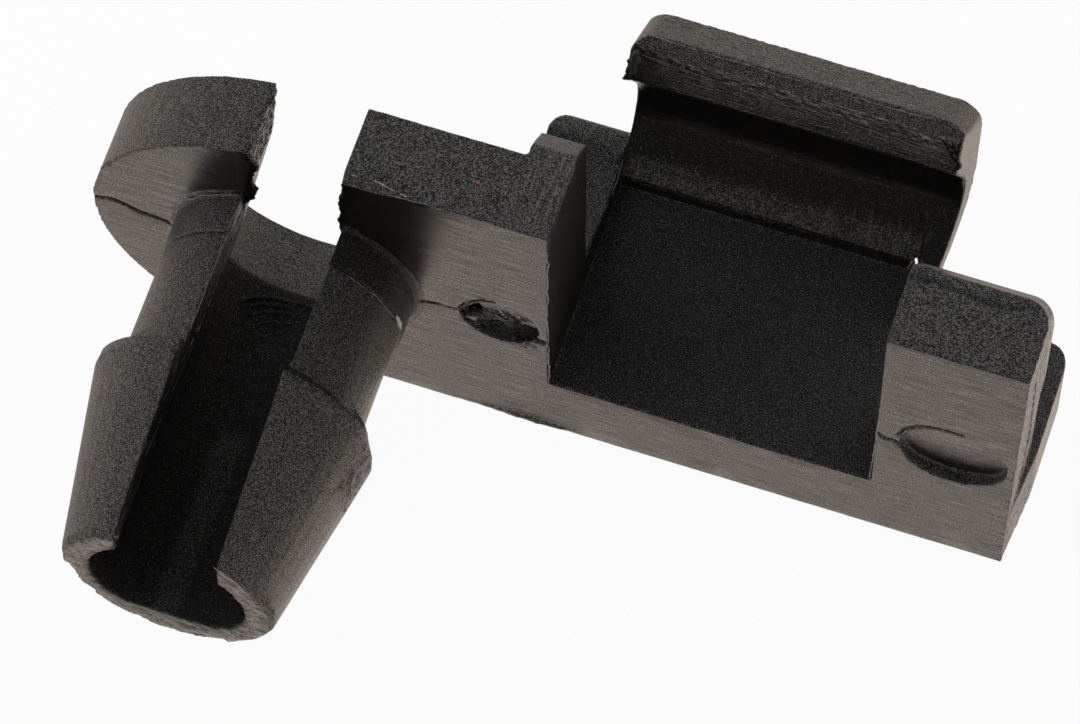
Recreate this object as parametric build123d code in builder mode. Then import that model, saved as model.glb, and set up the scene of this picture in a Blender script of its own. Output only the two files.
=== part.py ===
# Door lock rod clip: one plastic moulding.
# The barbed stud snaps into a lever's hole, and the rod's bent end sits in the stud's bore.
# The rod itself lies along X behind the plate, on the shelf, where the latch holds it.
# Frame: X along the plate, -Y out of the stud's tip, +Z the side that the stud's slot opens to.
# The origin is on the stud's axis, in the front face of the plate.
import os
from math import cos, radians, sin, tan

from build123d import *

os.makedirs("parts", exist_ok=True)

# Rod: its axis behind the plate, its seat in the latch, and the stud's bore for its bent end
rod_d = 3.97
rod_y = 5.0
seat_clearance = 0.03
bore_clearance = 0.03
seat_r = (rod_d + seat_clearance) / 2
bore_r = (rod_d + bore_clearance) / 2

# Lever: its hole and its thickness
lever_hole_d = 6.35
lever_t = 2.5
hole_clearance = 0.29
lever_play = 0.2

# Plate: a round head about the stud, and a bar to the right
plate_h = 10.6
plate_t = 2.0
bar_end = 18.3
head_x = 0.1
half_h = plate_h / 2

# Stud
collar_step = 0.18
collar_l = 1.05
barb_h = 0.53
barb_l = 0.72
barb_step = 0.12
tip_wall = 0.68
tip_round = 0.3
stud_l = 9.2
shank_r = (lever_hole_d - hole_clearance) / 2
collar_r = shank_r + collar_step
barb_r = shank_r + barb_h
tip_r = bore_r + tip_wall
shank_end = collar_l + lever_t + lever_play

# Flare of the bore through the plate, then near the tip a slight taper and a floor that rises
flare = 0.88
floor_l = 4.6
floor_rise = 0.5
tip_taper = 0.04

# Slot along the stud, and the gap that carries it on through the plate
slot_left = 1.2
slot_right = 1.35
gap_left = 0.9
gap_right = 1.39
gap_lean_left = 0.45
gap_lean_right = 0.1

# Latch: a wall curved round the rod, with a lip over it
latch_wall = 0.8
latch_over = 0.23
latch_foot = 0.6
lip_angle = 25
lip_l = 1.6
lip_front_h = 1.4
lip_lean = 0.2
ridge_in = 0.45
ridge_h = 0.35
top_drop = 1.05
latch_round = 0.7
latch_lean = 6.0

# Pocket through the plate in front of the latch, and the step up to the latch's foot
pocket_x0 = 6.5
pocket_x1 = 14.8
foot_sink = 0.05
foot_in = 0.75
latch_x1 = pocket_x1 + latch_over
foot_y = rod_y + foot_in

# Slit that frees the latch's right end
slit_x = 14.22
slit_w = 0.16
slit_l = 0.15

# Latch outline: round the rod, up the lip's underside and front, over the ridge, down the back
latch_r = seat_r + latch_wall
latch_back = rod_y + latch_r
seat_end_y = rod_y + seat_r * cos(radians(lip_angle))
seat_end_z = seat_r * sin(radians(lip_angle))
lip_y = seat_end_y - lip_l * sin(radians(lip_angle))
lip_z = seat_end_z + lip_l * cos(radians(lip_angle))
ridge_y = lip_y + ridge_in
ridge_z = lip_z + lip_front_h + ridge_h
back_z = ridge_z - top_drop

# Base behind the plate, deeper under the shelf and the latch
base_flare = 0.18
base_round = 0.6
deep_in = 1.04
deep_gap = 0.12
shelf_w = 2.05
base_top = foot_sink - latch_r
base_y = rod_y
deep_y = latch_back - deep_in
deep_x0 = pocket_x0 - shelf_w
deep_x1 = slit_x - deep_gap

# Shelf that carries the rod left of the latch
shelf_hold = 0.4
shelf_round = 0.28
shelf_top = shelf_hold - seat_r

# Ribs that the latch presses the rod against
left_rib_w = 1.15
left_rib_chamfer = 0.7
right_rib_low = 1.1
right_rib_step = 0.5
right_ramp_y = 0.9
right_ramp_h = 1.65
right_rib_round = 0.65
rib_y = rod_y - seat_r

# Round moulding marks, tilted into the front face
left_mark_x = 5.25
left_mark_r = 1.0
left_mark_tilt = 10.0
right_mark_in = 1.55
right_mark_r = 1.34
right_mark_tilt = 7.0

# Overshoot of cuts past the faces that they open, and root of pieces inside their neighbour
past = 1.0
root = 0.5

with BuildPart() as latch:
    with BuildSketch(Plane.YZ.offset(pocket_x0)):
        with BuildLine():
            Line((rod_y - latch_foot, -latch_r), (rod_y - latch_foot, -seat_r))
            Line((rod_y - latch_foot, -seat_r), (rod_y, -seat_r))
            CenterArc((rod_y, 0), seat_r, -90, 90 + lip_angle)
            Polyline(
                (seat_end_y, seat_end_z),
                (lip_y, lip_z),
                (lip_y + lip_lean, lip_z + lip_front_h),
                (ridge_y, ridge_z),
                (latch_back, back_z),
                (latch_back, 0),
            )
            CenterArc((rod_y, 0), latch_r, -90, 90)
            Line((rod_y, -latch_r), (rod_y - latch_foot, -latch_r))
        make_face()
    extrude(amount=latch_x1 - pocket_x0)
    top_middle = ((pocket_x0 + latch_x1) / 2, (ridge_y + latch_back) / 2, (ridge_z + back_z) / 2)
    top_facet = latch.faces().sort_by_distance(top_middle)[0]
    fillet(top_facet.edges().filter_by(Axis.X, reverse=True), latch_round)
    with BuildSketch(Plane.XY.offset(-latch_r)):
        lean = (latch_back - rod_y + latch_foot) * tan(radians(latch_lean))
        Polygon(
            (latch_x1 - lean, rod_y - latch_foot),
            (latch_x1, latch_back),
            (latch_x1 + past, latch_back),
            (latch_x1 + past, rod_y - latch_foot),
            align=None,
        )
    extrude(amount=latch_r + ridge_z, mode=Mode.SUBTRACT)

with BuildPart() as shelf:
    with BuildSketch(Plane.YZ.offset(deep_x0)) as shelf_profile:
        Polygon(
            (plate_t - root, -half_h),
            (deep_y, -half_h),
            (deep_y, shelf_top),
            (plate_t - root, shelf_top),
            align=None,
        )
        with Locations((rod_y, 0)):
            Circle(seat_r, mode=Mode.SUBTRACT)
        fillet(shelf_profile.vertices().group_by(Axis.Y)[-1].sort_by(Axis.X)[-2:], shelf_round)
    extrude(amount=pocket_x0 - deep_x0)
    with BuildSketch(Plane.XY.offset(-half_h)) as shelf_plan:
        with Locations((deep_x0, 0)):
            Rectangle(shelf_w, deep_y, align=(Align.MIN, Align.MIN))
        fillet(shelf_plan.vertices().group_by(Axis.Y)[-1].sort_by(Axis.X)[0], base_round)
    extrude(amount=plate_h, mode=Mode.INTERSECT)

with BuildPart() as bore:
    # Round bore with its taper and flare, less what the rising floor fills
    with BuildSketch(Plane.XY):
        Polygon(
            (0, -stud_l - past),
            (bore_r - tip_taper, -stud_l - past),
            (bore_r, floor_l - stud_l),
            (bore_r, 0),
            (bore_r + flare, plate_t),
            (bore_r + flare, plate_t + past),
            (0, plate_t + past),
            align=None,
        )
    revolve(axis=Axis.Y)
    with BuildSketch(Plane.YZ):
        Polygon(
            (floor_l - stud_l, -bore_r),
            (-stud_l - past, -bore_r + floor_rise * (floor_l + past) / floor_l),
            (-stud_l - past, -bore_r - past),
            (floor_l - stud_l, -bore_r - past),
            align=None,
        )
    extrude(amount=bore_r, both=True, mode=Mode.SUBTRACT)

with BuildPart() as rod_clip:
    # Plate
    with BuildSketch(Plane.XZ):
        with Locations((head_x, 0)):
            Circle(half_h)
            Rectangle(bar_end - head_x, plate_h, align=(Align.MIN, Align.CENTER))
    extrude(amount=-plate_t)

    # Base, with the shelf on its left
    with BuildSketch(Plane.XY.offset(-half_h)) as base_plan:
        Polygon(
            (deep_x0, 0),
            (bar_end, 0),
            (bar_end + base_flare, plate_t),
            (bar_end + base_flare, base_y),
            (deep_x1, base_y),
            (deep_x1, deep_y),
            (deep_x0, deep_y),
            align=None,
        )
        fillet(base_plan.vertices().group_by(Axis.Y)[-1], base_round)
        fillet(base_plan.vertices().sort_by_distance((bar_end + base_flare, base_y))[0], base_round)
    extrude(amount=half_h + base_top)
    add(shelf.part)

    # Latch, whose foot shares the rod's bed with the shelf
    add(latch.part)
    with BuildSketch(Plane.YZ.offset(pocket_x0)):
        with Locations((rod_y, 0)):
            Circle(seat_r)
    extrude(amount=latch_x1 - pocket_x0 + past, mode=Mode.SUBTRACT)

    # Pocket: right through the plate, then narrower up to the latch's foot
    with BuildSketch(Plane.XY.offset(base_top)):
        with Locations((pocket_x0, -past)):
            Rectangle(pocket_x1 - pocket_x0, plate_t + 2 * past, align=(Align.MIN, Align.MIN))
            Rectangle(slit_x + slit_w - pocket_x0, foot_y + past, align=(Align.MIN, Align.MIN))
    extrude(amount=half_h - base_top + past, mode=Mode.SUBTRACT)

    # Slit between the latch's right end and its foot
    with BuildSketch(Plane.XY.offset(-latch_r - past)):
        with Locations((slit_x, rod_y - latch_foot - past)):
            Rectangle(slit_w, past + latch_foot + foot_in + slit_l, align=(Align.MIN, Align.MIN))
    extrude(amount=past + latch_wall + seat_r / 2, mode=Mode.SUBTRACT)

    # Left rib
    with BuildSketch(Plane.YZ.offset(pocket_x0 - left_rib_w)):
        Polygon(
            (plate_t - root, base_top),
            (rib_y, base_top),
            (rib_y, half_h - left_rib_chamfer),
            (rib_y - left_rib_chamfer, half_h),
            (plate_t - root, half_h),
            align=None,
        )
    extrude(amount=left_rib_w)

    # Right rib, with its outer corner rounded down through the plate's
    with BuildSketch(Plane.YZ.offset(pocket_x1)):
        Polygon(
            (plate_t - root, right_rib_low - right_rib_step),
            (plate_t, right_rib_low - right_rib_step),
            (rib_y, right_rib_low),
            (rib_y, half_h - right_ramp_h),
            (rib_y - right_ramp_y, half_h),
            (plate_t - root, half_h),
            align=None,
        )
    extrude(amount=bar_end - pocket_x1)
    rib_corner = rod_clip.edges().filter_by_position(Axis.X, bar_end - 0.01, bar_end + 0.01)
    rib_corner = rib_corner.filter_by_position(Axis.Y, plate_t, rib_y)
    rib_corner = rib_corner.filter_by_position(Axis.Z, right_rib_low, half_h)
    fillet(rib_corner, right_rib_round)

    # Stud
    with BuildSketch(Plane.XY) as stud_profile:
        Polygon(
            (0, root),
            (collar_r, root),
            (collar_r, -collar_l),
            (shank_r, -collar_l),
            (shank_r, -shank_end),
            (shank_r + barb_step, -shank_end),
            (barb_r, -shank_end - barb_l),
            (tip_r, -stud_l),
            (0, -stud_l),
            align=None,
        )
        fillet(stud_profile.vertices().group_by(Axis.Y)[0].sort_by(Axis.X)[-1], tip_round)
    revolve(axis=Axis.Y)
    add(bore.part, mode=Mode.SUBTRACT)

    # Slot in the stud, and gap in the plate, whose sides lean
    with BuildSketch(Plane.XY):
        with Locations((-slot_left, -stud_l - past)):
            Rectangle(slot_left + slot_right, stud_l + past, align=(Align.MIN, Align.MIN))
    extrude(amount=half_h + past, mode=Mode.SUBTRACT)
    with BuildSketch(Plane.XZ.offset(-plate_t - past)):
        Polygon(
            (-gap_left - gap_lean_left, 0),
            (gap_right - gap_lean_right, 0),
            (gap_right, half_h),
            (-gap_left, half_h),
            align=None,
        )
    extrude(amount=plate_t + past, mode=Mode.SUBTRACT)

    # Moulding marks: discs that start flush at the top and sink in below
    marks = (
        (left_mark_x, left_mark_r, radians(left_mark_tilt)),
        (bar_end - right_mark_in, right_mark_r, radians(right_mark_tilt)),
    )
    for mark_x, mark_r, tilt in marks:
        disc = Plane((mark_x, mark_r * tan(tilt), 0), (1, 0, 0), (0, -cos(tilt), -sin(tilt)))
        with BuildSketch(disc):
            Circle(mark_r)
        extrude(amount=past, mode=Mode.SUBTRACT)

rod_clip.part.label = "rod_clip"
export_step(rod_clip.part, "parts/rod_clip.step")
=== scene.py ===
from math import pi

import bpy
import numpy as np
from mathutils import Matrix, Vector


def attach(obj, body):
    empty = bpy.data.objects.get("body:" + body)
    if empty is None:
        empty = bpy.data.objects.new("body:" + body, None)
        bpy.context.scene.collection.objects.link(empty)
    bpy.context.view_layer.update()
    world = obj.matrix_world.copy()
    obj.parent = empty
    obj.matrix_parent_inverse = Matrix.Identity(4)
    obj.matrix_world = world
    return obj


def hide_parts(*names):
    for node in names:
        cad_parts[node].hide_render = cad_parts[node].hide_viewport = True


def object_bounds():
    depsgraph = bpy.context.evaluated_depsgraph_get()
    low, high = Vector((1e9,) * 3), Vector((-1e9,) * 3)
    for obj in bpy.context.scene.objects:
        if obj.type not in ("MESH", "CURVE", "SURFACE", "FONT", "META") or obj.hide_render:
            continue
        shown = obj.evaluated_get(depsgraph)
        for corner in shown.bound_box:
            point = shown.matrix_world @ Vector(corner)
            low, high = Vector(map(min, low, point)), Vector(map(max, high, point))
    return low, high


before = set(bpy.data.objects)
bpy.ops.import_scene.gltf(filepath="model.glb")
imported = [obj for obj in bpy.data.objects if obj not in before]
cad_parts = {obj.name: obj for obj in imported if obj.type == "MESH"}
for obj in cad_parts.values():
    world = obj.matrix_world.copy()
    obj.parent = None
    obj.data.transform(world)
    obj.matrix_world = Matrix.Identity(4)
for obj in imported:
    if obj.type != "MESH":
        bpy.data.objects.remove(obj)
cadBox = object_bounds()
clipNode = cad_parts["rod_clip"]
mm = 0.001
print("frame loaded")

# Camera: a long lens that looks down on the clip from its front right

cameraLook = {
    "eye": (26.4033, -59.0480, 133.5286),  # mm
    "right": (0.9489425, 0.3154313, -0.0033450),
    "down": (0.2850776, -0.8620698, -0.4190064),
    "forward": (-0.1350514, 0.3966594, -0.9079771),
    "lens": 202.742,
    "sensor": 36.0,
    "nearest": 0.01,  # m, as is the next one
    "farthest": 10,
}


def makeCamera(look):
    data = bpy.data.cameras.new("camera")
    data.lens = look["lens"]
    data.sensor_width = look["sensor"]
    data.clip_start = look["nearest"]
    data.clip_end = look["farthest"]
    camera = bpy.data.objects.new("camera", data)
    bpy.context.scene.collection.objects.link(camera)
    columns = np.eye(4)
    columns[:3, 0] = look["right"]
    columns[:3, 1] = -np.array(look["down"])
    columns[:3, 2] = -np.array(look["forward"])
    columns[:3, 3] = np.array(look["eye"]) * mm
    camera.matrix_world = Matrix(columns.tolist())
    bpy.context.scene.camera = camera


makeCamera(cameraLook)
print("camera set")


# Shader maths: a Wire is one socket, and sums on wires add Math nodes


class Wire:
    def __init__(self, finish, socket):
        self.finish = finish
        self.socket = socket

    def sum(self, kind, *values):
        made = self.finish.node("ShaderNodeMath", {"operation": kind}, dict(enumerate(values)))
        return Wire(self.finish, made.outputs[0])

    def __add__(self, other):
        return self.sum("ADD", self, other)

    def __sub__(self, other):
        return self.sum("SUBTRACT", self, other)

    def __rsub__(self, other):
        return self.sum("SUBTRACT", other, self)

    def __mul__(self, other):
        return self.sum("MULTIPLY", self, other)

    __radd__ = __add__
    __rmul__ = __mul__

    def most(self, other):
        return self.sum("MAXIMUM", self, other)

    def step(self, low, high, start=0.0, end=1.0):
        # smooth step from start at low to end at high
        values = {"Value": self, "From Min": low, "From Max": high, "To Min": start, "To Max": end}
        made = self.finish.node("ShaderNodeMapRange", {"interpolation_type": "SMOOTHSTEP"}, values)
        return Wire(self.finish, made.outputs[0])


class Finish:
    def __init__(self, owner):
        owner.use_nodes = True
        self.tree = owner.node_tree
        self.tree.nodes.clear()

    def node(self, kind, settings=None, values=None):
        made = self.tree.nodes.new(kind)
        for name, value in (settings or {}).items():
            setattr(made, name, value)
        for name, value in (values or {}).items():
            if isinstance(value, Wire):
                self.tree.links.new(value.socket, made.inputs[name])
            else:
                made.inputs[name].default_value = value
        return made

    def wire(self, kind, settings=None, values=None, output=0):
        return Wire(self, self.node(kind, settings, values).outputs[output])

    def blend(self, share, first, second, kind="MIX"):
        # colours mixed by a share from 0 to 1
        settings = {"data_type": "RGBA", "blend_type": kind}
        return self.wire("ShaderNodeMix", settings, {0: share, 6: first, 7: second}, 2)

    def grey(self, value):
        return self.wire("ShaderNodeCombineXYZ", None, {0: value, 1: value, 2: value})

    def stretched(self, place, scale):
        # a place multiplied along each axis
        return self.wire("ShaderNodeVectorMath", {"operation": "MULTIPLY"}, {0: place, 1: scale})

    def away(self, place, centre):
        # distance from a point
        return self.wire("ShaderNodeVectorMath", {"operation": "DISTANCE"}, {0: place, 1: centre}, 1)

    def noise(self, place, scale, detail, rough):
        # noise with its own scale along each axis
        at = self.stretched(place, scale)
        values = {"Vector": at, "Scale": 1.0, "Detail": detail, "Roughness": rough}
        return self.wire("ShaderNodeTexNoise", None, values)

    def cells(self, place, scale):
        # distance to each cell's own point, and that cell's random share
        made = self.node("ShaderNodeTexVoronoi", None, {"Vector": place, "Scale": scale})
        share, _, _ = self.parts(Wire(self, made.outputs[1]))
        return Wire(self, made.outputs[0]), share

    def parts(self, vector):
        made = self.node("ShaderNodeSeparateXYZ", None, {0: vector})
        return [Wire(self, socket) for socket in made.outputs]


# Whole-array functions on the moulding's points, in millimetres

latticeShift = 40.0  # how far below the origin the lattices of the noises are counted from


def wander(points, size, seed):
    # noise from -1 to 1: random values on a lattice, blended between their eight neighbours
    cell = (points + latticeShift) / size
    whole = np.floor(cell).astype(int)
    part = cell - whole
    part = part * part * (3 - 2 * part)
    whole = whole - whole.min(0)
    lattice = np.random.default_rng(seed).uniform(-1, 1, whole.max(0) + 2)
    total = np.zeros(len(points))
    for corner in np.ndindex(2, 2, 2):
        share = np.where(corner, part, 1 - part).prod(1)
        total += share * lattice[tuple((whole + corner).T)]
    return total


def smoothStep(value, low, high):
    # 3 t^2 - 2 t^3 with t the share of the way from low to high
    share = np.clip((value - low) / (high - low), 0, 1)
    return share * share * (3 - 2 * share)


def inBox(points, low, high, soft):
    # 1 inside a box, falling smoothly to 0 over the soft distance outside it
    outside = np.maximum(np.array(low) - points, points - np.array(high)).max(1)
    return 1 - smoothStep(outside, 0, soft)


def fromPath(points, path):
    # distance from each point to the nearest stretch of a path of straight runs
    path = np.array(path, float)
    nearest = np.full(len(points), np.inf)
    for start, end in zip(path[:-1], path[1:]):
        run = end - start
        share = np.clip((points - start) @ run / (run @ run), 0, 1)
        gap = np.linalg.norm(points - start - share[:, None] * run, axis=1)
        nearest = np.minimum(nearest, gap)
    return nearest


def overNeighbours(values, edges, times):
    # each point's value becomes the mean of its neighbours' values, several times over
    count = len(values)
    ends = np.concatenate([edges, edges[:, ::-1]])
    share = 1 / np.maximum(np.bincount(ends[:, 0], minlength=count), 1)
    for _ in range(times):
        columns = values.reshape(count, -1).T
        sums = [np.bincount(ends[:, 0], c[ends[:, 1]], count) * share for c in columns]
        values = np.stack(sums, 1).reshape(values.shape)
    return values


def alongPath(path, count):
    # points at even steps along a path of straight runs
    path = np.array(path, float)
    runs = np.linalg.norm(np.diff(path, axis=0), axis=1)
    at = np.concatenate([[0], np.cumsum(runs)])
    where = np.linspace(0, at[-1], count)
    return np.stack([np.interp(where, at, path[:, axis]) for axis in range(3)], 1)


def closedTube(grid):
    # points and triangles of a tube from its grid of rows by turns, with a fan at each end
    rows, turns, _ = grid.shape
    row, turn = np.meshgrid(np.arange(rows - 1), np.arange(turns), indexing="ij")
    after = (turn + 1) % turns
    near, far = row * turns, (row + 1) * turns
    quads = np.stack([near + turn, near + after, far + after, far + turn], -1).reshape(-1, 4)
    sides = np.concatenate([quads[:, [0, 1, 2]], quads[:, [0, 2, 3]]])
    points = np.concatenate([grid.reshape(-1, 3), grid[:1].mean(1), grid[-1:].mean(1)])
    ring = np.arange(turns)
    following = (ring + 1) % turns
    base = (rows - 1) * turns
    nearEnd = np.stack([np.full(turns, rows * turns), following, ring], 1)
    farEnd = np.stack([np.full(turns, rows * turns + 1), base + ring, base + following], 1)
    return points, np.concatenate([sides, nearEnd, farEnd])


# Flash: thin ragged fins that the mould leaves where its halves meet

flashFins = {
    "hookGap": {
        "path": [(-1.3, 0.06, 5.2), (-1.3, 0.06, 3.6), (-1.3, 0.06, 2.9), (-1.3, 0.06, 2.35)],
        "reach": [0.28, 0.52, 0.6, 0.46, 0.42, 0.5, 0.42, 0.2],
        "out": (1, 0, 0),
        "through": (0, 1, 0),
        "thick": 0.16,
        "ragged": 0.06,
    },
    "hookLeft": {
        "path": [(-4.66, 0.06, 2.3), (-4.86, 0.06, 1.5), (-5.0, 0.06, 0.8), (-5.08, 0.06, 0.3)],
        "reach": [0.05, 0.14, 0.1, 0.16, 0.14],
        "out": (-1, 0, 0),
        "through": (0, 1, 0),
        "thick": 0.16,
        "ragged": 0.05,
    },
    "blockLeft": {
        "path": [(1.45, 0.06, 5.2), (1.45, 0.06, 4.2), (1.42, 0.06, 3.2), (1.42, 0.06, 2.0)],
        "reach": [0.1, 0.08, 0.16, 0.22, 0.14, 0.24, 0.2, 0.08],
        "out": (-1, 0, 0),
        "through": (0, 1, 0),
        "thick": 0.16,
        "ragged": 0.04,
    },
    "blockTop": {
        "path": [(1.4, 0.05, 5.2), (2.2, 0.05, 5.2), (3.0, 0.05, 5.19), (3.9, 0.05, 5.18)],
        "reach": [0.03, 0.05, 0.05, 0.04, 0.06, 0.05, 0.03],
        "out": (0, -1, 0),
        "through": (0, 0, 1),
        "thick": 0.1,
        "ragged": 0.03,
    },
    "gate": {
        "path": [(4.1, 0.1, -5.16), (5.7, 0.1, -5.16), (7.2, 0.1, -5.16)],
        "reach": [0.1, 0.13, 0.18, 0.2, 0.19, 0.12],
        "out": (0, -1, 0),
        "through": (0, 0, 1),
        "thick": 0.22,
        "ragged": 0.03,
    },
    "latchEnd": {
        "path": [(14.5, 6.3, 3.6), (14.62, 6.3, 3.0), (14.72, 6.35, 2.3)],
        "reach": [0.02, 0.08, 0.14, 0.22, 0.32, 0.34, 0.04],
        "out": (0.94, -0.34, 0),
        "through": (0, 1, 0),
        "thick": 0.1,
        "ragged": 0.04,
    },
    "lipLeft": {
        "path": [(6.55, 6.2, 3.5), (6.5, 6.1, 2.9), (6.5, 6.15, 2.3), (6.5, 6.3, 2.0)],
        "reach": [0.02, 0.05, 0.04, 0.06, 0.13, 0.06],
        "out": (-0.94, -0.34, 0),
        "through": (0, 1, 0),
        "thick": 0.1,
        "ragged": 0.05,
    },
}
finLook = {
    "rows": 120,
    "turns": 12,
    "root": 0.12,  # how deep a fin starts inside the moulding, mm
    "raggedSize": 0.11,
    "leastReach": 0.02,
}


def makeFin(fin, look, seed):
    # a flattened oval carried along a path: out by reach (1 + cos) / 2 - root (1 - cos) / 2,
    # through by half the thickness times sin, with a reach that wanders
    spine = alongPath(fin["path"], look["rows"])
    knots = np.linspace(0, 1, len(fin["reach"]))
    reach = np.interp(np.linspace(0, 1, look["rows"]), knots, fin["reach"])
    reach = reach + fin["ragged"] * wander(spine, look["raggedSize"], seed)
    reach = np.maximum(reach, look["leastReach"])
    angle = np.arange(look["turns"]) * 2 * pi / look["turns"]
    across = (1 + np.cos(angle)) / 2
    out = reach[:, None] * across + look["root"] * (across - 1)
    through = fin["thick"] / 2 * np.sin(angle)
    grid = spine[:, None] + out[:, :, None] * np.array(fin["out"], float)
    return closedTube(grid + through[None, :, None] * np.array(fin["through"], float))


# Beads: ragged ridges along paths, each with a radius in mm
# Thick ones melt into the moulding, and thin ones lie on it and say how pale they are, a painted
# highlight along the edges and lines they follow

thickBeads = [
    {"path": [(3.42, -4.6, 0.5), (3.36, -4.95, 0.62), (3.22, -5.5, 0.72)], "radius": 0.09},
    {"path": [(15.1, 2.0, 5.2), (15.6, 2.03, 5.2), (16.2, 1.94, 5.2), (16.7, 1.86, 5.2),
              (17.4, 1.94, 5.2)], "radius": 0.1},
    {"path": [(4.3, 0.1, 0.0), (4.5, 0.08, -0.14), (4.75, 0.14, -0.28)], "radius": 0.12},
]
thinBeads = [
    {"path": [(1.82, -1.07, 2.42), (2.13, -1.06, 2.15), (2.61, -1.05, 1.57), (2.97, -1.05, 0.79)],
     "radius": 0.026, "pale": 0.12},
    {"path": [(3.0, -1.05, 0.9), (3.07, -1.05, 0.6), (3.12, -1.05, 0.28)], "radius": 0.08,
     "pale": 0.4},
    {"path": [(2.43, -0.05, 2.1), (2.81, -0.05, 1.56), (3.06, -0.05, 0.97), (3.21, -0.05, 0.02)],
     "radius": 0.012, "pale": 0.02},
    {"path": [(-2.74, -0.08, 1.67), (-2.25, -0.08, 2.29), (-1.25, -0.08, 2.96)], "radius": 0.022,
     "pale": 0.1},
    {"path": [(1.46, 0.2, 5.26), (1.85, 0.24, 5.27), (2.25, 0.2, 5.26), (2.8, 0.1, 5.24),
              (3.4, 0, 5.25)], "radius": 0.03, "pale": 0.15},
    {"path": [(2.6, 0, 5.26), (3.8, 0, 5.27), (5.0, 0, 5.26), (6.3, 0, 5.22)], "radius": 0.014,
     "pale": 0.1},
    {"path": [(6.47, 0, 4.77), (6.53, 0, 4.0), (6.49, 0, 3.14), (6.51, 0, 2.05), (6.48, 0, 0.89),
              (6.51, 0, -0.51), (6.53, 0, -2.7)], "radius": 0.026, "pale": 0.12},
    {"path": [(14.9, 0, 3.21), (14.88, 0, 2.07), (14.83, 0, 0.27), (14.81, 0, -0.92),
              (14.79, 0, -2.62)], "radius": 0.022, "pale": 0.12},
    {"path": [(6.5, 6.0, -1.72), (6.5, 5.51, -1.93), (6.5, 4.95, -2.0)], "radius": 0.016,
     "pale": 0.08},
    {"path": [(6.75, 6.56, 4.03), (8.2, 6.55, 4.0), (9.7, 6.54, 3.99), (11.2, 6.53, 3.98),
              (12.7, 6.53, 3.97), (14.1, 6.55, 4.0)], "radius": 0.02, "pale": 0.08},
    {"path": [(6.75, 6.29, 3.47), (8.3, 6.27, 3.3), (9.8, 6.26, 3.24), (11.3, 6.25, 3.2),
              (12.8, 6.24, 3.12), (14.3, 6.22, 2.95)], "radius": 0.014, "pale": 0.06},
    {"path": [(-1.56, 0.0, -1.3), (-1.57, -0.75, -1.24), (-1.58, -1.6, -1.23), (-1.54, -2.3, -1.27),
              (-1.55, -4.1, -1.26), (-1.54, -5.2, -1.27), (-1.5, -6.5, -1.3)], "radius": 0.015,
     "pale": 0.03},
    {"path": [(-1.2, -0.3, 2.85), (-1.2, -1.05, 2.84), (-1.2, -1.2, 2.78), (-1.2, -2.9, 2.77),
              (-1.2, -3.7, 2.77)], "radius": 0.02, "pale": 0.08},
    {"path": [(-1.2, -0.2, 2.2), (-1.2, -0.8, 2.25), (-1.2, -2.1, 1.8), (-1.2, -2.9, 1.8),
              (-1.2, -4.4, 2.3)], "radius": 0.016, "pale": 0.1},
    {"path": [(15.28, -0.01, -0.35), (15.65, -0.01, -0.95), (16.3, -0.01, -1.36),
              (17.1, -0.01, -1.36), (17.85, -0.01, -0.85)], "radius": 0.016, "pale": 0.08},
    {"path": [(1.3, -9.15, 2.32), (1.55, -9.16, 2.05), (1.8, -9.16, 1.85), (2.1, -9.16, 1.3)],
     "radius": 0.045, "pale": 0.15},
    {"path": [(-1.2, -8.9, 1.7), (-1.2, -9.1, 2.2), (-1.2, -9.1, 2.36)], "radius": 0.04,
     "pale": 0.1},
    {"path": [(4.3, -0.01, 0.25), (4.75, -0.01, 0.85), (5.2, -0.01, 1.0)], "radius": 0.03,
     "pale": 0.08},
    {"path": [(4.95, 0.38, -0.5), (5.3, 0.39, -0.7), (5.6, 0.55, -0.62)], "radius": 0.05,
     "pale": 0.12},
    {"path": [(18.3, 0.9, 3.6), (18.31, 1.1, 1.6), (18.32, 1.2, 0.0), (18.31, 1.0, -1.6),
              (18.3, 0.6, -2.75)], "radius": 0.03, "pale": 0.1},
]
beadLook = {
    "turns": 7,
    "step": 0.05,
    "leastRows": 4,
    "sway": 0.02,  # how far a bead strays from its path, mm
    "swaySize": 0.25,
    "middle": 0.65,  # a bead's radius is this share of its own, give or take the next
    "range": 0.55,
    "rangeSize": 0.12,
    "endShare": 0.33,  # at its ends it thins to this share, and gains the next one over the length
    "endGain": 0.67,
    "endLength": 0.2,
    "guide": (0.3, 0.5, 0.81),  # a direction that no bead follows
}


def makeBead(bead, look, seed):
    # a circle carried along a path, its place and radius wandering, and thinner at both ends
    length = np.linalg.norm(np.diff(np.array(bead["path"], float), axis=0), axis=1).sum()
    rows = int(length / look["step"]) + look["leastRows"]
    spine = alongPath(bead["path"], rows)
    sway = np.stack([wander(spine, look["swaySize"], seed + i) for i in range(3)], 1)
    spine = spine + look["sway"] * sway
    change = look["range"] * wander(spine, look["rangeSize"], seed + 3)
    radius = bead["radius"] * (look["middle"] + change)
    share = np.linspace(0, 1, rows)
    fromEnd = np.minimum(share, 1 - share) * length
    gain = look["endGain"] * smoothStep(fromEnd, 0, look["endLength"])
    radius = radius * (look["endShare"] + gain)
    ahead = np.gradient(spine, axis=0)
    side = np.cross(ahead, look["guide"])
    side /= np.linalg.norm(side, axis=1)[:, None]
    up = np.cross(ahead, side)
    up /= np.linalg.norm(up, axis=1)[:, None]
    angle = np.arange(look["turns"]) * 2 * pi / look["turns"]
    ring = np.cos(angle)[None, :, None] * side[:, None] + np.sin(angle)[None, :, None] * up[:, None]
    return closedTube(spine[:, None] + radius[:, None, None] * ring)


# Marks: grooves (below 0) and ridges (above 0) along paths, in mm

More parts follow.
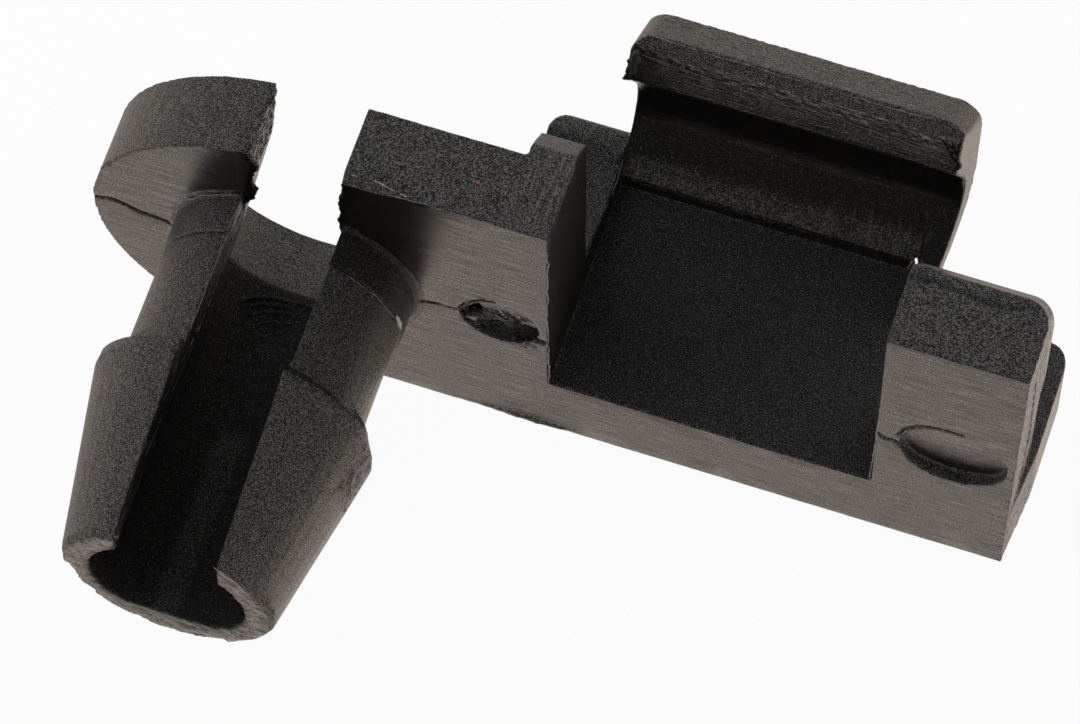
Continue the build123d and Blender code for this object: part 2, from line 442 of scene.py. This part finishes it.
reliefMarks = [
    {"path": [(-5.1, 0, 0.25), (-4.68, 0, 0.39), (-4.35, 0, 0.27), (-4, 0, 0.11), (-3.6, 0, 0.08),
              (-3.1, 0, -0.02)], "half": 0.05, "depth": -0.14},
    {"path": [(3.2, 0, -0.18), (3.75, 0, -0.01), (4.3, 0, -0.05)], "half": 0.035, "depth": -0.07},
    {"path": [(14.85, 0, 0.08), (15.05, 0, -0.08), (15.25, 0, -0.05), (15.4, 0, -0.2)],
     "half": 0.05, "depth": -0.14},
    {"path": [(17.93, 0, -0.2), (17.98, 0, 0.1), (18.02, 0, 0.35)], "half": 0.04, "depth": -0.12},
    {"path": [(15.39, 0, 0.35), (15.55, 0, 0.85), (15.9, 0, 1.22), (16.4, 0, 1.36), (16.9, 0, 1.34)],
     "half": 0.06, "depth": -0.12},
    {"path": [(14.9, 1.78, 5.3), (15.5, 1.82, 5.3), (16.2, 1.75, 5.3), (16.7, 1.68, 5.3),
              (17.4, 1.75, 5.3)], "half": 0.06, "depth": -0.07},
    {"path": [(-1.2, -0.72, -1.62), (-0.82, -0.42, -1.82), (-0.4, -0.26, -1.95), (0.2, -0.22, -2.0),
              (0.8, -0.3, -1.86)], "half": 0.04, "depth": 0.045},
    {"path": [(-1.12, -0.86, -1.68), (-0.7, -0.56, -1.88), (-0.2, -0.4, -2.0), (0.8, -0.38, -1.85)],
     "half": 0.035, "depth": 0.04},
    {"path": [(-0.98, -1.0, -1.76), (-0.6, -0.74, -1.92), (-0.1, -0.56, -2.0), (0.7, -0.5, -1.88)],
     "half": 0.035, "depth": 0.035},
    {"path": [(-0.7, -1.16, -1.88), (-0.36, -0.92, -1.97), (0.1, -0.8, -2.0)], "half": 0.03,
     "depth": 0.03},
    {"path": [(1.3, -4.13, 2.77), (2.2, -4.2, 2.13), (2.75, -4.3, 1.35), (3.0, -4.36, 0.6)],
     "half": 0.09, "depth": -0.22},
    {"path": [(-1.2, -4.13, 2.81), (-2.2, -4.14, 2.13), (-2.9, -4.16, 1.0)], "half": 0.045,
     "depth": -0.08},
    {"path": [(0.13, -3.51, -2), (0, -4.97, -1.96), (-0.29, -5.96, -1.85), (-0.35, -6.85, -1.75),
              (-0.2, -7.96, -1.63)], "half": 0.22, "depth": 0.03},
    {"path": [(11.9, 7.2, 4.3), (12.02, 7.2, 4.3)], "half": 0.08, "depth": 0.1},
    {"path": [(7.88, 7.2, 4.3), (7.97, 7.2, 4.3)], "half": 0.06, "depth": 0.08},
    {"path": [(6.35, 0, -0.48), (6.0, 0.1, -0.55), (5.7, 0.2, -0.5)], "half": 0.1, "depth": -0.16},
    {"path": [(4.8, 0.05, -0.12), (5.3, 0.1, -0.32), (5.8, 0.15, -0.48)], "half": 0.3,
     "depth": -0.5},
    {"path": [(4.45, 0, 0.2), (4.75, 0, 0.4), (5.2, 0, 0.42), (5.6, 0, 0.1)], "half": 0.05,
     "depth": -0.12},
    {"path": [(15.19, 2.3, 4.86), (15.46, 2.5, 3.97)], "half": 0.12, "depth": -0.06},
]

# Zones where the moulding is torn, pitted or rough: noise of a depth and size inside a soft box

reliefZones = [
    {"low": (6.6, 6.28, 3.25), "high": (14.4, 6.6, 3.98), "soft": 0.04, "depth": 0.009, "size": 0.1},
    {"low": (-1.15, 0.1, 3.0), "high": (-0.75, 1.9, 5.3), "soft": 0.1, "depth": 0.05, "size": 0.14},
    {"low": (-1.35, -9.2, 0.9), "high": (-1.1, -0.1, 3.4), "soft": 0.06, "depth": 0.035,
     "size": 0.16, "stretch": (1, 0.2, 1)},
    {"low": (3.1, -5.8, -0.3), "high": (3.7, -4.5, 1.0), "soft": 0.15, "depth": 0.035, "size": 0.16},
    {"low": (-3.2, -9.3, -3.2), "high": (3.2, -9.05, 3.2), "soft": 0.08, "depth": 0.02,
     "size": 0.14},
    {"low": (4.4, 0.05, -0.95), "high": (6.2, 0.7, 0.4), "soft": 0.03, "depth": 0.09, "size": 0.2},
    {"low": (18.2, -0.2, -5.4), "high": (18.6, 2.1, 5.4), "soft": 0.05, "depth": 0.012,
     "size": 0.12},
    {"low": (5.4, 0.1, 5.0), "high": (6.5, 2.1, 5.4), "soft": 0.1, "depth": 0.03, "size": 0.14,
     "stretch": (1, 0.18, 1)},
    {"low": (14.9, 1.4, 4.9), "high": (15.6, 2.3, 5.4), "soft": 0.1, "depth": 0.05, "size": 0.15},
    {"low": (6.9, 6.9, 2.8), "high": (14.6, 7.9, 4.4), "soft": 0.1, "depth": 0.01, "size": 0.09},
]

# Forms that the moulding has only in places, in mm
# A pair is where a form starts and where it is full, but a Span or a Reach has plain limits

forms = {
    "collarLoss": 0.09,  # how much lower the collar stands than its full step
    "collarLeftLoss": 0.05,  # and how much lower still on the left
    "collarLeft": (0.3, -0.6),
    "collarFront": (-1.2, -1.1),
    "collarBack": (-0.03, -0.06),
    "collarRise": (3.03, 3.1),
    "collarTop": 3.35,
    "shankR": 3.03,  # the barb's shoulder is steep where it faces up
    "shoulderR": 3.57,
    "shoulderY": -4.22,
    "shoulderSoft": 0.06,
    "shoulderTop": (0.4, 1.3),
    "shoulderSpan": (-4.5, -3.72),
    "shoulderReach": (2.95, 3.7),
    "sideways": (1.4, 2.2),  # the slot's walls keep their x
    "footDrop": 0.3,  # the step up to the latch's foot is worn lower
    "footY": 5.75,
    "footSoft": 0.06,
    "footBack": 6.8,
    "footSpan": (6.52, 14.2),
    "footTop": -0.8,
    "footRise": (-2.78, -2.2),
    "hollowR": 2.0,  # the hollow's floor runs softly into its sides
    "hollowStart": -4.6,
    "hollowLead": 1.0,
    "hollowFade": 1.5,
    "hollowRise": 0.109,
    "hollowSoft": 0.3,
    "hollowNear": 0.2,
    "hollowWide": 1.95,
    "tipR": 2.4,  # the tip's face steps back outside this radius, at its lower left
    "tipStep": 0.24,
    "tipY": -9.2,
    "tipDepth": 0.4,
    "tipSoft": 0.04,
    "tipRagged": 0.07,
    "tipRaggedSize": 0.3,
    "tipLow": (-0.1, -0.5),
    "tipLeft": (1.6, 1.0),
    "cornerDrop": 0.2,  # the left block's front top edge slopes down to its front
    "cornerLeft": 1.2,
    "cornerFront": (0.26, 0.02),
    "cornerTop": (4.8, 5.28),
    "fadeStart": 2.0,  # to the right that slope fades
    "fadeEnd": 3.4,
}

# Slit between the latch's right end and its foot, pointed at the back: a triangle at one level,
# cut along the camera's line from above it to below it
slitCut = {
    "near": [(14.06, 5.4), (14.36, 5.4), (14.2, 6.06)],
    "level": -1.85,
    "above": 0.5,
    "below": 1.6,
    "weld": 0.0005,
}

skin = {
    "voxel": 0.048,  # mm between points while the relief is laid on
    "rounding": 0.5,  # how much of one smoothing pass softens the edges
    "edgePasses": 3,  # an edge is where the surface bends, spread, scaled up and cut off
    "edgeGain": 7,
    "edgeStart": 0.3,
    "ragged": 0.03,  # how far edges wander, mm
    "raggedSize": 0.2,
    "raggedFine": 0.6,
    "raggedFineSize": 0.09,
    "raggedWear": 0.2,
    "ripple": 0.004,  # slow waves of the faces, mm
    "rippleSize": 1.5,
    "tearFine": 0.5,  # share of the finer noise in a torn zone
    "markRange": 0.35,  # how much a mark's width wanders
    "markSize": 0.15,
    "triangles": 165000,
}

seeds = {
    "edge": 1,
    "edgeFine": 2,
    "ripple": 3,
    "mark": 4,
    "tip": 7,
    "fin": 20,
    "zone": 50,
    "zoneFine": 80,
    "thickBead": 200,
    "thinBead": 400,
    "beadStep": 10,
}


def meshFrom(name, points, faces):
    mesh = bpy.data.meshes.new(name)
    mesh.from_pydata(points.tolist(), [], faces.tolist())
    mesh.update()
    return mesh


def shown(mesh, kind, settings):
    # the mesh after one modifier
    holder = bpy.data.objects.new("holder", mesh)
    bpy.context.scene.collection.objects.link(holder)
    modifier = holder.modifiers.new(kind, kind)
    for key, value in settings.items():
        setattr(modifier, key, value)
    graph = bpy.context.evaluated_depsgraph_get()
    made = bpy.data.meshes.new_from_object(holder.evaluated_get(graph))
    bpy.data.objects.remove(holder)
    return made


def read(collection, field, width, kind=float):
    # one field of all its elements, as rows
    flat = np.zeros(len(collection) * width, kind)
    collection.foreach_get(field, flat)
    return flat.reshape(-1, width)


def triangles(mesh):
    mesh.calc_loop_triangles()
    return read(mesh.loop_triangles, "vertices", 3, np.int32)


def joined(parts):
    # points and triangles of several parts as one
    starts = np.cumsum([0] + [len(points) for points, _ in parts[:-1]])
    faces = np.concatenate([faces + start for (_, faces), start in zip(parts, starts)])
    return np.concatenate([points for points, _ in parts]), faces


def isBetween(value, low, high):
    # true above low and below high
    return (value > low) * (value < high)


def bendForms(points, look):
    # collar and shoulder: the distance from the stud's axis moves to its target by a soft share;
    # foot and corner: z falls by the drop; hollow: z rises by (sqrt(gap^2 + soft^2) - gap) / 2,
    # gap being the height between floor and side; tip: y is at least the stepped face's
    x, y, z = points.T.copy()
    around = np.hypot(x, z)
    collar = smoothStep(y, *look["collarFront"]) * smoothStep(y, *look["collarBack"])
    collar *= smoothStep(around, *look["collarRise"]) * (around < look["collarTop"])
    left = smoothStep(x, *look["collarLeft"])
    shift = -collar * (look["collarLoss"] + look["collarLeftLoss"] * left)
    rise = smoothStep(y, look["shoulderY"] + look["shoulderSoft"], look["shoulderY"])
    target = look["shankR"] + (look["shoulderR"] - look["shankR"]) * rise
    shoulder = smoothStep(z, *look["shoulderTop"]) * isBetween(y, *look["shoulderSpan"])
    shoulder = shoulder * isBetween(around, *look["shoulderReach"])
    shift = shift + shoulder * (target - around)
    x = x + shift * x / around * smoothStep(np.abs(x), *look["sideways"])
    z = z + shift * z / around
    foot = isBetween(x, *look["footSpan"]) * (y > look["footY"] - look["footSoft"])
    foot = foot * (z < look["footTop"]) * (1 - smoothStep(y, look["footY"], look["footBack"]))
    z = z - look["footDrop"] * (foot * smoothStep(z, *look["footRise"]))
    floor = -look["hollowR"] + look["hollowRise"] * (look["hollowStart"] - y)
    side = -np.sqrt(np.maximum(look["hollowR"] ** 2 - x**2, 0))
    gap = np.abs(floor - side)
    lead = look["hollowStart"] + look["hollowLead"]
    inside = (np.abs(z - np.maximum(floor, side)) < look["hollowNear"]) * (y < lead)
    inside = inside * (np.abs(x) < look["hollowWide"])
    lift = (np.sqrt(gap**2 + look["hollowSoft"] ** 2) - gap) / 2
    z = z + inside * lift * smoothStep(lead - y, 0, look["hollowFade"])
    sway = look["tipRagged"] * wander(points, look["tipRaggedSize"], seeds["tip"])
    edge = np.hypot(x, z) - look["tipR"] - sway
    step = smoothStep(edge, 0, look["tipSoft"]) * smoothStep(z, *look["tipLow"])
    step = step * smoothStep(x, *look["tipLeft"])
    stepped = np.maximum(y, look["tipY"] + look["tipStep"] * step)
    y = np.where(y < look["tipY"] + look["tipDepth"], stepped, y)
    fade = smoothStep(x, look["fadeStart"], look["fadeEnd"])
    corner = (x > look["cornerLeft"]) * (1 - fade)
    corner = corner * smoothStep(y, *look["cornerFront"]) * smoothStep(z, *look["cornerTop"])
    z = z - look["cornerDrop"] * corner
    return np.stack([x, y, z], 1)


def layRelief(points, normals, edges, look):
    # edges wander, faces ripple, zones tear by noise,
    # and each mark lifts by depth exp(-(distance / half)^2)
    bend = overNeighbours(points, edges, 1) - points
    sharp = np.abs((bend * normals).sum(1)) / look["voxel"]
    sharp = overNeighbours(sharp, edges, look["edgePasses"]) * look["edgeGain"]
    sharp = np.clip(sharp - look["edgeStart"], 0, 1)
    points = points + bend * look["rounding"]
    lift = wander(points, look["raggedSize"], seeds["edge"])
    fine = wander(points, look["raggedFineSize"], seeds["edgeFine"])
    lift = lift + look["raggedFine"] * fine - look["raggedWear"]
    ripple = wander(points, look["rippleSize"], seeds["ripple"])
    lift = look["ragged"] * sharp * lift + look["ripple"] * ripple
    for number, zone in enumerate(reliefZones):
        share = inBox(points, zone["low"], zone["high"], zone["soft"])
        near = share > 0
        grainAt = points[near] * zone.get("stretch", (1, 1, 1))
        rough = wander(grainAt, zone["size"], seeds["zone"] + number)
        fine = wander(grainAt, zone["size"] / 2, seeds["zoneFine"] + number)
        lift[near] += zone["depth"] * share[near] * (rough + look["tearFine"] * fine)
    for mark in reliefMarks:
        gap = fromPath(points, mark["path"])
        change = look["markRange"] * wander(points, look["markSize"], seeds["mark"])
        wide = mark["half"] * (1 + change)
        lift += mark["depth"] * np.exp(-((gap / wide) ** 2))
    return bendForms(points + normals * lift[:, None], forms)


def cutSlit(mesh, cut):
    # a triangular prism along the camera's line, taken away from the welded solid
    ahead = np.array(cameraLook["forward"]) / -cameraLook["forward"][2]
    near = np.array([(*corner, cut["level"]) for corner in cut["near"]])
    prism = np.concatenate([near - cut["above"] * ahead, near + cut["below"] * ahead])
    ends = [(0, 1, 2), (5, 4, 3)]
    sides = [(0, 3, 4), (0, 4, 1), (1, 4, 5), (1, 5, 2), (2, 5, 3), (2, 3, 0)]
    tool = bpy.data.objects.new("slitTool", meshFrom("slitTool", prism, np.array(ends + sides)))
    bpy.context.scene.collection.objects.link(tool)
    welded = shown(mesh, "WELD", {"merge_threshold": cut["weld"]})
    settings = {"operation": "DIFFERENCE", "solver": "EXACT", "object": tool}
    made = shown(welded, "BOOLEAN", settings)
    bpy.data.objects.remove(tool)
    return made


def makeBeads(beads, seed):
    # every bead, each with a seed of its own
    step = seeds["beadStep"]
    return [makeBead(bead, beadLook, seed + step * i) for i, bead in enumerate(beads)]


def makeSkin(node, look):
    # the CAD solid and its flash fused on a fine lattice, given relief and thinned where flat,
    # then joined by its thin beads and kept inside the CAD box
    solid = meshFrom("solid", read(node.data.vertices, "co", 3) / mm, triangles(node.data))
    solid = cutSlit(solid, slitCut)
    parts = [(read(solid.vertices, "co", 3), triangles(solid))]
    fins = enumerate(flashFins.values())
    parts += [makeFin(fin, finLook, seeds["fin"] + i) for i, fin in fins]
    parts += makeBeads(thickBeads, seeds["thickBead"])
    fused = meshFrom("fused", *joined(parts))
    fused = shown(fused, "REMESH", {"mode": "VOXEL", "voxel_size": look["voxel"]})
    points = read(fused.vertices, "co", 3)
    normals = read(fused.vertices, "normal", 3)
    points = layRelief(points, normals, read(fused.edges, "vertices", 2, np.int32), look)
    fused.vertices.foreach_set("co", points.ravel())
    fused.update()
    thin = shown(fused, "DECIMATE", {"ratio": look["triangles"] / (2 * len(fused.polygons))})
    parts = [(read(thin.vertices, "co", 3), triangles(thin))]
    parts += makeBeads(thinBeads, seeds["thinBead"])
    # pale carries the thin beads' painted highlight, none on the moulding
    pale = [np.zeros(len(parts[0][0]))]
    pale += [np.full(len(points), bead["pale"]) for bead, (points, _) in zip(thinBeads, parts[1:])]
    points, faces = joined(parts)
    low, high = (np.array(corner) / mm for corner in cadBox)
    mesh = meshFrom("clip", np.clip(points, low, high) * mm, faces)
    mesh.attributes.new("pale", "FLOAT", "POINT").data.foreach_set("value", np.concatenate(pale))
    mesh.shade_smooth()
    piece = bpy.data.objects.new("clip", mesh)
    bpy.context.scene.collection.objects.link(piece)
    return piece


clip = makeSkin(clipNode, skin)
print("moulding made:", len(clip.data.polygons), "faces")

# Plastic: black, with spark-eroded grain, brushed front faces, scuffs and dust, and painted
# highlights: glints in the pocket, streaks and thin beads

plastic = {
    "black": (0.004, 0.004, 0.0042, 1),
    "brushed": (0.006, 0.0056, 0.0054, 1),
    "pale": (0.8, 0.77, 0.72, 1),
    "patchLeast": 0.6,  # the colour's strength where its patches are darkest
    "patchRange": 0.8,
    "brushRange": 0.5,
    "frontTurn": (0.85, 0.97),  # how squarely a face looks forward, up or right to get its finish
    "topTurn": (0.6, 0.9),
    "endTurn": (0.8, 0.95),
    "roughTop": 0.56,
    "roughFront": 0.08,
    "roughSide": 0.4,
    "roughEnd": 0.22,
    "roughGrain": 0.16,  # how much the roughness follows the grain, and the brushed lines
    "roughBrush": 0.1,
    "dull": 1.26,  # refraction index of the grain's hollows, and of its crests
    "shiny": 2.25,
    "crest": (0.46, 0.59),  # noise where a crest starts, and where it is full
    "crestGrain": 0.12,  # share of the coarse grain in that noise, and of the brushed lines
    "crestBrush": 0.4,
    "crestEnd": 0.05,  # noise gained at the right end, and lost in deep places and the pocket
    "crestDeep": 0.09,
    "crestPocket": 0.03,
    "stripShare": 0.6,  # how much less deep the strip is than the hollow around it
    "collarShare": 0.9,
    "rodAxis": (0, 5, 0),
    "grainHeight": 0.06 * mm,
    "grainShare": 0.4,  # share of the coarse grain in that height
    "brushHeight": 0.009 * mm,
    "glintHeight": 0.02 * mm,
    # glints: pale dots painted into the pocket's colour as a painted highlight, with a little bump
    "glintScale": 13.0,
    "glintEdge": (0.42, 0.1),  # how far from the middle of its cell a glint ends and is full
    "glintLuck": (0.5, 1.0),
    "glintLight": 0.13,
    "scuffEdge": (0.52, 0.66),
    "scuffLight": 0.045,
    "wornEdge": (0.48, 0.6),
    "wornLight": 0.06,
    # streaks: a painted highlight on the left block's top
    "streakEdge": (0.48, 0.64),
    "streakLight": 0.06,
    # how much the thin beads' painted highlight lightens the colour
    "beadLight": 2.0,
    "dust": (4.47, 0.94, 5.3),
    "dustEdge": (0.05, 0.035),
    "dustRagged": 0.04,
    "dustRed": (0.5, 0.03, 0.03, 1),
}

# Noises of the plastic: scale along x, y and z in each mm, then detail and roughness

noises = {
    "grain": ((9.0, 9.0, 9.0), 3.0, 0.65),
    "fine": ((28.0, 28.0, 28.0), 2.0, 0.7),
    "brush": ((0.8, 4.0, 19.0), 4.0, 0.72),
    "patches": ((0.7, 0.7, 0.7), 3.0, 0.5),
    "scuff": ((13.0, 1.2, 1.2), 2.0, 0.6),
    # the streak noise shapes a painted highlight
    "streak": ((11.0, 1.0, 1.0), 3.0, 0.65),
}

# Zones of the plastic, in mm: a pair is where a zone starts and where it is full,
# along x, y or z or as a distance from the stud's or the rod's axis

zones = {
    "pocket": {"x": [(6.4, 6.5), (15.1, 15.0)], "y": [(-0.1, 0.0)], "z": [(-1.0, -2.0)]},
    "hollow": {"stud": [(2.16, 2.07)], "y": [(0.1, 0.0)]},
    # along the hollow's floor
    "strip": {"x": [(-0.7, -0.4), (0.3, 0.0)], "y": [(-9.6, -9.0), (-3.8, -4.4)]},
    "trough": {"rod": [(2.18, 2.07)], "x": [(6.4, 6.5), (15.2, 15.1)], "y": [(4.6, 5.0)]},
    "collar": {
        "stud": [(2.64, 2.7), (3.38, 3.32)],
        "x": [(0.8, 1.4)],
        "y": [(-1.06, -1.04), (0.12, 0.1)],
    },
    # the line behind the barb's shoulder
    "shoulder": {
        "stud": [(2.64, 2.7), (3.38, 3.32)],
        "x": [(0.8, 1.4)],
        "y": [(-4.29, -4.25), (-3.86, -3.9)],
        "z": [(0.2, 0.6)],
    },
    # at the right of the latch's foot
    "scuff": {
        "x": [(10.4, 12.6), (14.6, 14.2)],
        "y": [(5.68, 5.8), (6.47, 6.35)],
        "z": [(-1.0, -1.5)],
    },
    # along the foot's edge
    "worn": {
        "x": [(6.6, 6.9), (12.5, 11.5)],
        "y": [(5.62, 5.72), (6.02, 5.92)],
        "z": [(-2.45, -2.35), (-1.8, -1.9)],
    },
    # painted highlight streaks at the right end of the left block's top
    "streak": {
        "x": [(5.2, 5.8), (6.6, 6.5)],
        "y": [(-0.1, 0.1), (2.4, 2.2)],
        "z": [(4.0, 4.4)],
    },
}


def mixed(first, second, share):
    # a share of the first and the rest of the second
    return share * first + (1 - share) * second


def inZone(reach, zone):
    # the product of one smooth step for each of the zone's pairs
    share, *others = [reach[axis].step(*pair) for axis, pairs in zone.items() for pair in pairs]
    for other in others:
        share = share * other
    return share


def makePlastic(look):
    material = bpy.data.materials.new("clipPlastic")
    f = Finish(material)
    place = f.stretched(f.wire("ShaderNodeTexCoord", None, None, "Object"), (1 / mm,) * 3)
    x, y, z = f.parts(place)
    nx, ny, nz = f.parts(f.wire("ShaderNodeNewGeometry", None, None, "Normal"))
    # pale: the thin beads' painted highlight
    pale = f.wire("ShaderNodeAttribute", {"attribute_name": "pale"}, None, "Fac")
    front = (0.0 - ny).step(*look["frontTurn"])
    side = 1 - front
    top = nz.step(*look["topTurn"])
    end = nx.step(*look["endTurn"])
    fromStud = f.away(f.stretched(place, (1, 0, 1)), (0, 0, 0))
    fromRod = f.away(f.stretched(place, (0, 1, 1)), look["rodAxis"])
    reach = {"x": x, "y": y, "z": z, "stud": fromStud, "rod": fromRod}
    zone = {name: inZone(reach, pairs) for name, pairs in zones.items()}
    noise = {name: f.noise(place, *settings) for name, settings in noises.items()}
    grain, fine, brush = noise["grain"], noise["fine"], noise["brush"]
    pocket = zone["pocket"] * side
    # deep is 1 where the sky barely reaches
    deep = zone["hollow"] * (1 - look["stripShare"] * zone["strip"])
    deep = deep.most(zone["trough"])
    deep = deep.most(zone["collar"] * look["collarShare"])
    deep = deep.most(zone["shoulder"])
    # painted glints: pale dots in the pocket, a painted highlight
    gap, luck = f.cells(place, look["glintScale"])
    bright = luck.step(*look["glintLuck"])
    glint = gap.step(*look["glintEdge"]) * bright * bright * pocket
    scuff = noise["scuff"].step(*look["scuffEdge"]) * zone["scuff"]
    worn = grain.step(*look["wornEdge"]) * zone["worn"]
    # streak is a painted highlight, streaks running front to back on the left block's top
    streak = noise["streak"].step(*look["streakEdge"]) * zone["streak"]
    # light gathers the painted highlights of glints, streaks and thin beads with the real scuffs and
    # wear
    light = (look["glintLight"] * glint).most(look["scuffLight"] * scuff)
    light = light.most(look["wornLight"] * worn).most(look["streakLight"] * streak)
    light = light.most(look["beadLight"] * pale)
    strength = look["patchLeast"] + look["patchRange"] * noise["patches"]
    strength = strength + look["brushRange"] * front * (brush - 0.5)
    colour = f.blend(front, look["black"], look["brushed"])
    colour = f.blend(1.0, colour, f.grey(strength), "MULTIPLY")
    colour = f.blend(light, colour, look["pale"])
    dust = f.away(place, look["dust"]) + look["dustRagged"] * (fine - 0.5)
    colour = f.blend(dust.step(*look["dustEdge"]), colour, look["dustRed"])
    rough = look["roughSide"] + front * (look["roughFront"] - look["roughSide"])
    rough = rough + top * (look["roughTop"] - look["roughSide"])
    rough = rough + end * (look["roughEnd"] - look["roughSide"])
    rough = rough + look["roughGrain"] * side * (grain - 0.5)
    rough = rough + look["roughBrush"] * front * (brush - 0.5)
    height = mixed(grain, fine, look["grainShare"]) * look["grainHeight"] * side
    height = height + brush * front * look["brushHeight"]
    height = height + glint * look["glintHeight"]
    bump = f.wire("ShaderNodeBump", None, {"Strength": 1.0, "Distance": 1.0, "Height": height})
    # the grain's crests are burnished and shine more than its hollows
    values = {"Base Color": colour, "Roughness": rough, "Normal": bump}
    dull, shiny = (
        f.wire("ShaderNodeBsdfPrincipled", None, values | {"IOR": look[name]})
        for name in ("dull", "shiny")
    )
    crest = mixed(grain, fine, look["crestGrain"]) * side
    crest = crest + mixed(brush, fine, look["crestBrush"]) * front
    crest = crest + look["crestEnd"] * end - look["crestDeep"] * deep
    crest = (crest - look["crestPocket"] * pocket).step(*look["crest"])
    both = f.wire("ShaderNodeMixShader", None, {0: crest, 1: dull, 2: shiny})
    f.node("ShaderNodeOutputMaterial", None, {0: both})
    return material


clip.data.materials.append(makePlastic(plastic))
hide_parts("rod_clip")
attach(clip, "root")
print("plastic made")

# Studio: white table, white surroundings that dim overhead and above the camera, one soft lamp

studio = {
    "table": 1.2,  # m across
    "tableGap": 0.01 * mm,  # how far the table lies below the clip
    "tableWhite": 0.9,
    "warm": (1.0, 0.885, 0.77, 1),  # the table and the low sky, as the plastic mirrors them
    "white": (1, 1, 1, 1),
    "plainShare": 0.95,  # share of the table's look that shadows don't touch
    "horizon": 1.35,
    "overhead": 0.12,
    "overheadRise": (0.3, 0.92),  # a pair is where a change starts and is full, 1 being straight up
    "whiteRise": (0.05, 0.45),
    "frontDim": 0.6,
    "frontTurn": (0.1, 0.5),  # and here 1 is straight to the front, or to the right
    "frontRise": (0.05, 0.3),
    "rightDim": 0.4,
    "rightTurn": (0.4, 0.9),
    "rightRise": (0.5, 0.3),
    "lampPlace": (-0.16, -0.02, 0.34),
    "lampSize": 0.26,
    "lampPower": 0.35,
}


def makeTable(look):
    half = look["table"] / 2
    low = cadBox[0].z - look["tableGap"]
    corners = [(-half, -half, low), (half, -half, low), (half, half, low), (-half, half, low)]
    points = np.array(corners)
    table = bpy.data.objects.new("table", meshFrom("table", points, np.array([[0, 1, 2, 3]])))
    bpy.context.scene.collection.objects.link(table)
    material = bpy.data.materials.new("tableWhite")
    f = Finish(material)
    rays = f.node("ShaderNodeLightPath")
    kinds = ("Is Camera Ray", "Is Glossy Ray", "Is Transmission Ray")
    camera, glossy, clear = (Wire(f, rays.outputs[name]) for name in kinds)
    matt = f.wire("ShaderNodeBsdfDiffuse", None, {"Color": (look["tableWhite"],) * 3 + (1,)})
    plainColour = f.blend(glossy, look["white"], look["warm"])
    plain = f.wire("ShaderNodeEmission", None, {"Color": plainColour, "Strength": 1.0})
    seen = (camera * look["plainShare"]).most(glossy).most(clear)
    both = f.wire("ShaderNodeMixShader", None, {0: seen, 1: matt, 2: plain})
    f.node("ShaderNodeOutputMaterial", None, {0: both})
    table.data.materials.append(material)


def makeSurroundings(look):
    world = bpy.data.worlds.new("surroundings")
    bpy.context.scene.world = world
    f = Finish(world)
    right, back, up = f.parts(f.wire("ShaderNodeTexCoord", None, None, "Generated"))
    rays = f.node("ShaderNodeLightPath")
    frontDim = look["frontDim"] * (0.0 - back).step(*look["frontTurn"])
    frontDim = frontDim * up.step(*look["frontRise"])
    rightDim = look["rightDim"] * right.step(*look["rightTurn"])
    rightDim = rightDim * up.step(*look["rightRise"])
    strength = up.step(*look["overheadRise"], look["horizon"], look["overhead"])
    strength = strength * (1 - frontDim) * (1 - rightDim)
    seen = Wire(f, rays.outputs["Is Camera Ray"])
    tint = f.blend(up.step(*look["whiteRise"]), look["warm"], look["white"])
    sky = f.wire("ShaderNodeBackground", None, {"Color": tint, "Strength": strength})
    plain = f.wire("ShaderNodeBackground", None, {"Color": look["white"], "Strength": 1.0})
    both = f.wire("ShaderNodeMixShader", None, {0: seen, 1: sky, 2: plain})
    f.node("ShaderNodeOutputWorld", None, {0: both})


def makeLamp(look):
    data = bpy.data.lights.new("lamp", "AREA")
    data.shape = "SQUARE"
    data.size = look["lampSize"]
    data.energy = look["lampPower"]
    lamp = bpy.data.objects.new("lamp", data)
    bpy.context.scene.collection.objects.link(lamp)
    lamp.location = look["lampPlace"]
    lamp.rotation_mode = "QUATERNION"
    lamp.rotation_quaternion = Vector(look["lampPlace"]).to_track_quat("Z", "Y")


makeTable(studio)
makeSurroundings(studio)
makeLamp(studio)
bpy.context.scene.view_settings.view_transform = "Standard"
print("studio made")
